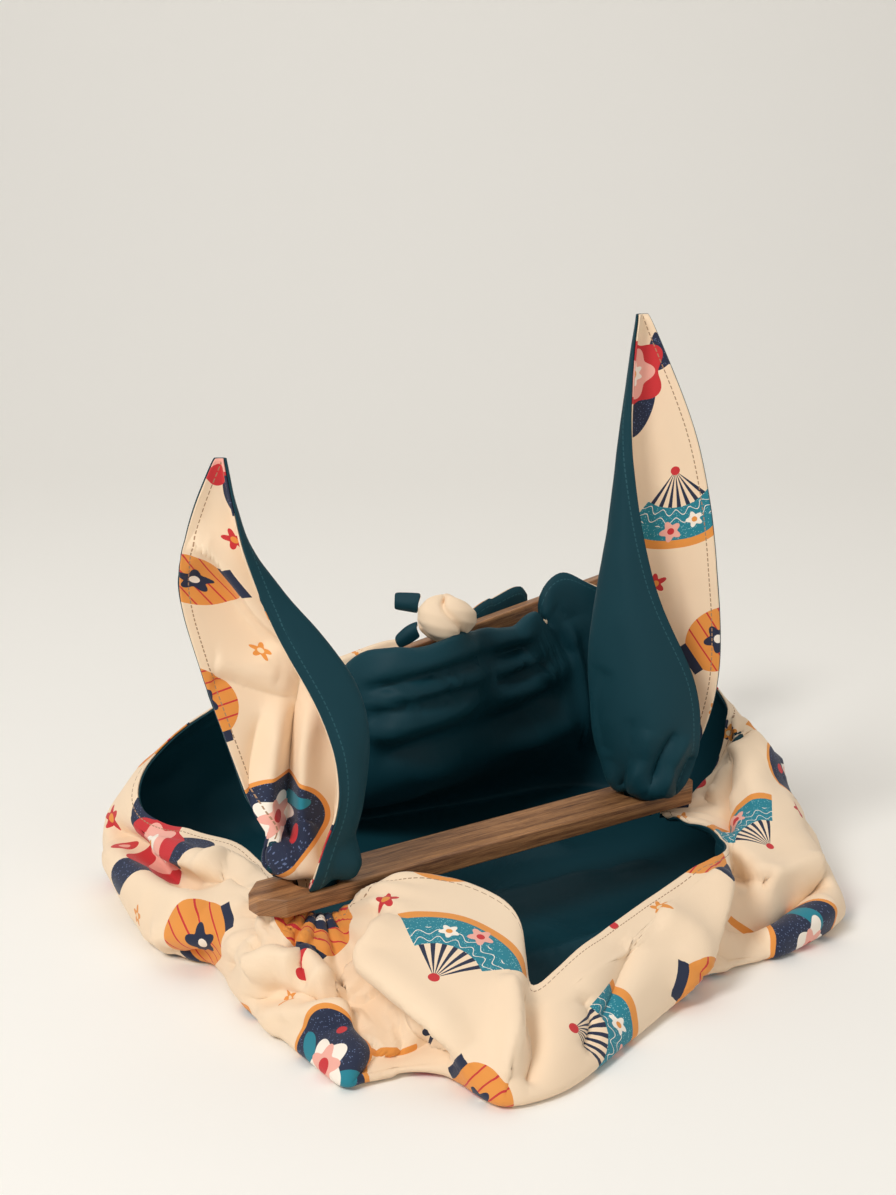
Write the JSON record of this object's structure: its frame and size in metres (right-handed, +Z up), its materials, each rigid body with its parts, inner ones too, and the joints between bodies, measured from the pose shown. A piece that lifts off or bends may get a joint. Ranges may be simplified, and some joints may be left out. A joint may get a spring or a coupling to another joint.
{
  "type": "cloth bag with wooden bar handles",
  "caption": "Soft lined cloth bag slumped on a table, its long pointed ears drawn through the holes of two wooden bar handles.",
  "frame": {"origin": "middle of the part's box, on the table", "axes": "+X to the right and +Y to the back as the bag is seen from its front corner, +Z up"},
  "size_m": [0.4314, 0.5468, 0.3372],
  "materials": {
    "printed_cotton": "matt woven cotton, cream with a printed pattern",
    "teal_lining": "smooth woven lining, dark teal",
    "stained_wood": "brown stained, open grain, satin"
  },
  "bodies": {
    "root": {"body_printed_cloth": "printed_cotton", "ear_front_left_printed_cloth": "printed_cotton", "ear_front_right_printed_cloth": "printed_cotton", "ear_rear_left_end_1_printed_cloth": "printed_cotton", "ear_rear_left_end_2_printed_cloth": "printed_cotton", "ear_rear_right_end_1_printed_cloth": "printed_cotton", "ear_rear_right_end_2_printed_cloth": "printed_cotton", "body_lining": "teal_lining", "ear_front_left_lining": "teal_lining", "ear_front_right_lining": "teal_lining", "ear_rear_left_end_1_lining": "teal_lining", "ear_rear_left_end_2_lining": "teal_lining", "ear_rear_right_end_1_lining": "teal_lining", "ear_rear_right_end_2_lining": "teal_lining", "ear_rear_left_strand": "printed_cotton", "ear_rear_left_knot": "printed_cotton", "ear_rear_right_strand": "printed_cotton", "ear_rear_right_knot": "printed_cotton", "bar_front": "stained_wood", "bar_rear": "stained_wood"}
  },
  "joints": []
}
